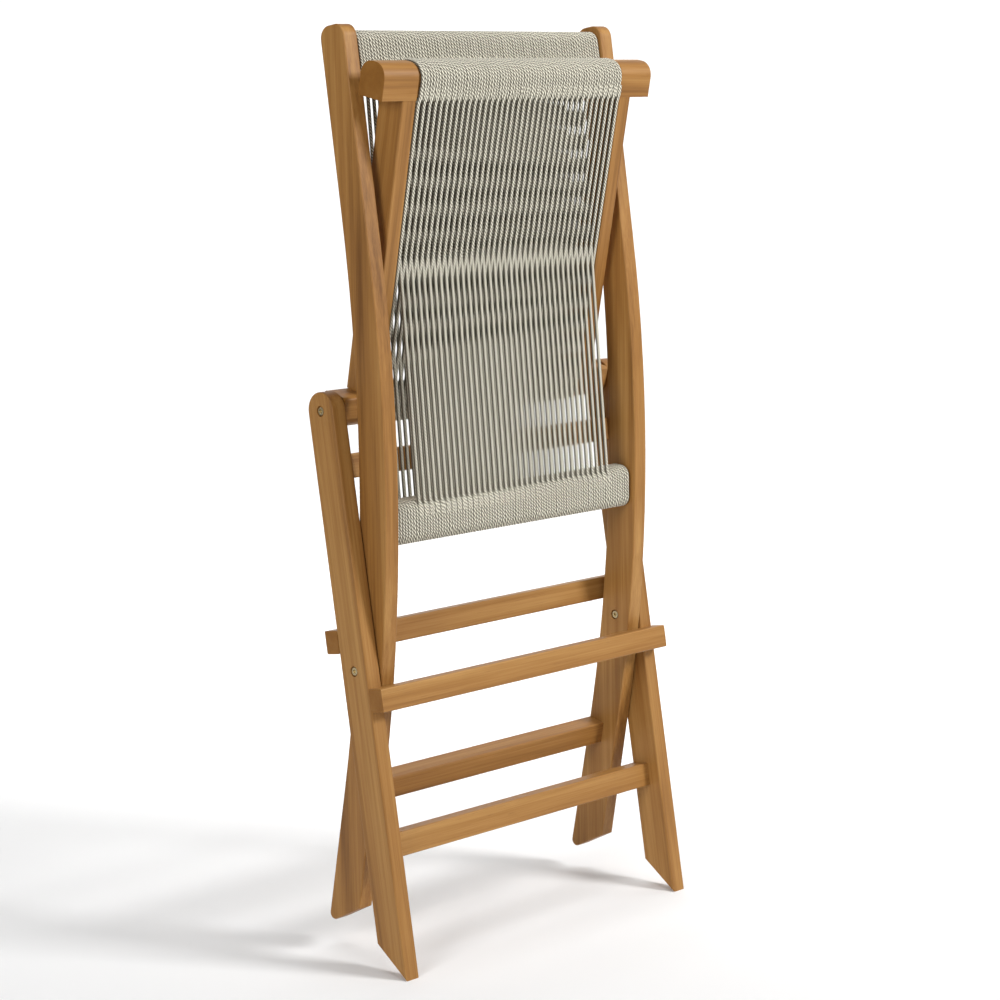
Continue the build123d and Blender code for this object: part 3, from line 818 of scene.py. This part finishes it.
@dataclass
class SeatCord(CordWork):
    """Cord of the seat frame.

    Distances to the rear and up are in the seat's plane, from the hinge.

    Args:
        half: half the depth of the rear bar's core.
        front_rear: rear face of the front bar's core.
        rear_flat, rear_crown: lower and upper face of the rear bar's core.
        front_flat, front_crown: upper and lower face of the front bar's core.
        crown_radius, edge_radius: radius of the crowned and of the flat side's edges.
        front_leave, rear_leave: how far inside the flat faces the strands leave the bars.
        tuck: how far inside them a strand's hidden end lies.
    """

    body: str = "seat_frame"
    half: float = 20.1 * MM
    front_rear: float = 16.1 * MM
    rear_flat: float = 398.4 * MM
    rear_crown: float = 438.6 * MM
    front_flat: float = 17.6 * MM
    front_crown: float = -20.1 * MM
    crown_radius: float = 16.6 * MM
    edge_radius: float = 3.0 * MM
    front_leave: float = 3.0 * MM
    rear_leave: float = 2.0 * MM
    tuck: float = 14.0 * MM

    def rear_section(self) -> list[Corner]:
        """Section of the rear bar: flat below, crowned above."""
        return [Corner(self.half, self.rear_flat, self.edge_radius),
                Corner(self.half, self.rear_crown, self.crown_radius),
                Corner(-self.half, self.rear_crown, self.crown_radius),
                Corner(-self.half, self.rear_flat, self.edge_radius)]

    def front_section(self) -> list[Corner]:
        """Section of the front bar: crowned below, flat above."""
        return [Corner(self.front_rear, self.front_crown, self.crown_radius),
                Corner(self.front_rear, self.front_flat, self.edge_radius),
                Corner(-self.half, self.front_flat, self.edge_radius),
                Corner(-self.half, self.front_crown, self.crown_radius)]

    def build(self, plane: SidePlane, row: bpy.types.NodeTree,
              winding: bpy.types.NodeTree) -> None:
        """Build the seat's wound bars and both strand layers.

        Args:
            plane: the seat frame's plane.
            row: the strand tree.
            winding: the winding tree.
        """
        self.wind("seat_rear_wrap", self.rear_section(), plane, winding)
        self.wind("seat_front_wrap", self.front_section(), plane, winding)
        skin = self.cord / 2
        for node, near, far, seed in (
                ("seat_strands_lower", self.front_rear + skin, self.half + skin, 3),
                ("seat_strands_upper", -self.half - skin, -self.half - skin, 8)):
            self.stretch(node, plane.point(near, self.front_flat - self.front_leave),
                         plane.point(far, self.rear_flat + self.rear_leave),
                         plane.point(near, self.front_flat - self.tuck),
                         plane.point(far, self.rear_flat + self.tuck), seed, row)


@dataclass
class BackCord(CordWork):
    """Cord of the back frame.

    Args:
        deep, high, corner: the section of both bars and the radius of its corners.
        low_bar, high_bar: middles of the bars, to the rear of and above the main pivot.
        high_lean: lean of the top bar to the front, in degrees.
        leave: how far past a bar's straight face the strands leave it.
        tuck: how far inside it a strand's hidden end lies.
    """

    body: str = "back_frame"
    turns: int = 90
    wound_half: float = 214.0 * MM
    strands: int = 37
    deep: float = 29.5 * MM
    high: float = 48.5 * MM
    corner: float = 10.0 * MM
    low_bar: tuple[float, float] = (8.85 * MM, 184.8 * MM)
    high_bar: tuple[float, float] = (-54.15 * MM, 766.75 * MM)
    high_lean: float = 9.39
    leave: float = 2.0 * MM
    tuck: float = 8.0 * MM

    def section(self) -> list[Corner]:
        """Rounded section of both bars."""
        d, h = self.deep / 2, self.high / 2
        return [Corner(d, -h, self.corner), Corner(d, h, self.corner),
                Corner(-d, h, self.corner), Corner(-d, -h, self.corner)]

    def reach(self, lean: float) -> float:
        """Distance from a bar's middle to its face at a relative lean."""
        turn = math.radians(abs(lean))
        return ((self.deep / 2 - self.corner) * math.cos(turn)
                + (self.high / 2 - self.corner) * math.sin(turn) + self.corner)

    def build(self, layout: Layout, row: bpy.types.NodeTree,
              winding: bpy.types.NodeTree) -> None:
        """Build the back's wound bars and both strand layers.

        Args:
            layout: the chair's shared places.
            row: the strand tree.
            winding: the winding tree.
        """
        low = layout.back_bar(*self.low_bar, 0.0)
        top = layout.back_bar(*self.high_bar, self.high_lean)
        self.wind("back_bottom_wrap", self.section(), low, winding)
        self.wind("back_top_wrap", self.section(), top, winding)
        lean = math.degrees(math.atan2(self.low_bar[0] - self.high_bar[0],
                                       self.high_bar[1] - self.low_bar[1]))
        low_face = SidePlane(low.y, low.z, lean)
        top_face = SidePlane(top.y, top.z, lean)
        up = self.high / 2 - self.corner
        skin = self.cord / 2
        for node, side, seed in (("back_strands_rear", 1.0, 5), ("back_strands_front", -1.0, 12)):
            near = side * (self.reach(lean) + skin)
            far = side * (self.reach(self.high_lean - lean) + skin)
            hidden = side * (self.deep / 2 + skin)
            self.stretch(node, low_face.point(near, side * up + self.leave),
                         top_face.point(far, -side * up - self.leave),
                         low.point(hidden, side * up - self.tuck),
                         top.point(hidden, -side * up + self.tuck), seed, row)


@dataclass
class Timber:
    """Every teak piece, kept from the CAD with its own grain."""

    leans: dict[str, float] = field(default_factory=lambda: {
        "leg_rail_left": 10.5, "leg_rail_right": 10.5, "back_rail_left": 1.5,
        "back_rail_right": 1.5, "seat_rail_left": -10.5, "seat_rail_right": -10.5})
    cross_pieces: tuple[str, ...] = (
        "leg_front_stretcher", "leg_rear_stretcher", "leg_foot_stretcher", "leg_top_stretcher",
        "back_stretcher", "back_top_bar", "back_bottom_bar", "seat_rear_bar", "seat_front_bar")
    tones: tuple[float, ...] = (0.0, 0.02, -0.015, 0.03, -0.02, 0.01, 0.025, -0.01)
    first_seed: float = 0.4
    seed_step: float = 3.1

    def dress(self, nodes: dict[str, bpy.types.Object]) -> None:
        """Give each timber node its teak finish.

        Args:
            nodes: the frame's nodes by name.
        """
        names = [*self.leans, *self.cross_pieces]
        for i, name in enumerate(names):
            finish = TeakFinish(name=f"teak_{name}",
                                grain=Grain.UPRIGHT if name in self.leans else Grain.ACROSS,
                                lean=self.leans.get(name, 0.0),
                                seed=self.seed_step * i + self.first_seed,
                                tone=self.tones[i % len(self.tones)])
            set_finish(nodes[name], finish.build())
            log.info("%s: teak", name)


@dataclass
class Hardware:
    """Brass bolts, nuts and washers, kept from the CAD."""

    kinds: tuple[str, ...] = ("pivot_bolt", "pivot_nut", "pivot_washer", "hinge_bolt",
                              "hinge_washer")

    def dress(self, nodes: dict[str, bpy.types.Object]) -> None:
        """Give each metal node the brass finish.

        Args:
            nodes: the frame's nodes by name.
        """
        brass = BrassFinish().build()
        for kind in self.kinds:
            for side in ("left", "right"):
                set_finish(nodes[f"{kind}_{side}"], brass)
        log.info("hardware: brass")


def set_finish(obj: bpy.types.Object, finish: bpy.types.Material) -> None:
    """Put a finish in every material slot of a CAD node."""
    if not obj.material_slots:
        obj.data.materials.append(finish)
    for place in obj.material_slots:
        place.material = finish


# ---------------------------------------------------------------- studio
@dataclass(frozen=True)
class Lamp:
    """A soft square lamp.

    Args:
        name: the lamp's name.
        place: where it stands.
        side: its side.
        power: its power in watts.
        target: the point it is aimed at.
    """

    name: str
    place: Place
    side: float
    power: float
    target: Place = (0.0, 0.0, 0.6)

    def build(self) -> None:
        """Hang the lamp and aim it."""
        data = bpy.data.lights.new(self.name, "AREA")
        data.shape = "SQUARE"
        data.size = self.side
        data.energy = self.power
        lamp = bpy.data.objects.new(self.name, data)
        lamp.location = self.place
        aim = Vector(self.target) - Vector(self.place)
        lamp.rotation_euler = aim.to_track_quat("-Z", "Y").to_euler()
        bpy.context.collection.objects.link(lamp)


@dataclass(frozen=True)
class Backdrop:
    """A plain pale floor that curves up behind the chair.

    Args:
        half: half its width, and how far it reaches in front.
        reach: where it starts to curve up.
        bend: radius of the curve.
        rise: height of its top edge.
        steps: straight pieces in the curve.
        behind: direction from the chair to the curve.
        tone: its grey.
    """

    half: float = 9.0
    reach: float = 3.5
    bend: float = 2.0
    rise: float = 6.0
    steps: int = 12
    behind: tuple[float, float] = (-0.7, -0.72)
    tone: float = 0.86

    def profile(self) -> list[tuple[float, float]]:
        """Distances behind the chair with heights, from the front edge to the top."""
        turns = [k / self.steps * math.pi / 2 for k in range(1, self.steps + 1)]
        return [(-self.half, 0.0), (self.reach, 0.0),
                *((self.reach + self.bend * math.sin(turn), self.bend * (1 - math.cos(turn)))
                  for turn in turns), (self.reach + self.bend, self.rise)]

    def build(self) -> None:
        """Lay the floor and paint it."""
        profile = self.profile()
        back = Vector(self.behind).normalized()
        side = Vector((-back.y, back.x))
        verts = []
        for run, height in profile:
            for across in (-self.half, self.half):
                spot = back * run + side * across
                verts.append((spot.x, spot.y, height))
        faces = [(2 * i, 2 * i + 2, 2 * i + 3, 2 * i + 1) for i in range(len(profile) - 1)]
        mesh = bpy.data.meshes.new("floor")
        mesh.from_pydata(verts, [], faces)
        for face in mesh.polygons:
            face.use_smooth = True
        floor = bpy.data.objects.new("floor", mesh)
        bpy.context.collection.objects.link(floor)
        s = Shader("floor_paint")
        s.bsdf.inputs["Base Color"].default_value = (self.tone, self.tone, self.tone, 1.0)
        s.bsdf.inputs["Roughness"].default_value = 0.9
        s.bsdf.inputs["Specular IOR Level"].default_value = 0.1
        mesh.materials.append(s.material)


@dataclass
class Studio:
    """Floor, lights and camera."""

    lens: float = 90.49
    sensor: float = 36.0
    camera_at: Place = (2.2539, 2.3533, 1.1541)
    tilt: tuple[float, float, float] = (79.895, 0.0, 136.368)
    lamps: tuple[Lamp, ...] = (
        Lamp("key", (-1.7, 3.0, 2.7), 1.0, 128.0),
        Lamp("top", (0.3, 0.6, 3.4), 1.4, 22.0),
        Lamp("fill", (3.5, 1.0, 1.9), 1.4, 60.0),
        Lamp("wall", (-0.9, -0.95, 3.4), 3.0, 190.0, (-3.6, -3.7, 1.2)))
    surround: float = 0.17

    def light(self) -> None:
        """Key from the camera's right, soft top and fill, a lit wall and a dim surround."""
        for lamp in self.lamps:
            lamp.build()
        world = bpy.data.worlds.new("surround")
        world.use_nodes = True
        surface = world.node_tree.nodes["Background"]
        surface.inputs[0].default_value = (1.0, 1.0, 1.0, 1.0)
        surface.inputs[1].default_value = self.surround
        bpy.context.scene.world = world

    def camera(self) -> None:
        """Set the camera at the chair's rear left."""
        data = bpy.data.cameras.new("camera")
        data.lens = self.lens
        data.sensor_width = self.sensor
        camera = bpy.data.objects.new("camera", data)
        camera.location = self.camera_at
        camera.rotation_euler = tuple(math.radians(a) for a in self.tilt)
        bpy.context.collection.objects.link(camera)
        bpy.context.scene.camera = camera

    def build(self) -> None:
        """Set up floor, lights and camera."""
        self.camera()
        Backdrop().build()
        self.light()
        bpy.context.scene.view_settings.view_transform = "Standard"


def main() -> None:
    """Build the chair's looks in order."""
    logging.basicConfig(level=logging.INFO, format="%(name)s: %(message)s")
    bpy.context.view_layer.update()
    layout = Layout()
    cord = CordFinish().build()
    row, winding = taut_row_tree(), winding_tree()
    Timber().dress(frame["nodes"])
    Hardware().dress(frame["nodes"])
    SeatCord(finish=cord).build(layout.seat(), row, winding)
    BackCord(finish=cord).build(layout, row, winding)
    Studio().build()
    bpy.context.view_layer.update()


if __name__ == "__main__":
    main()
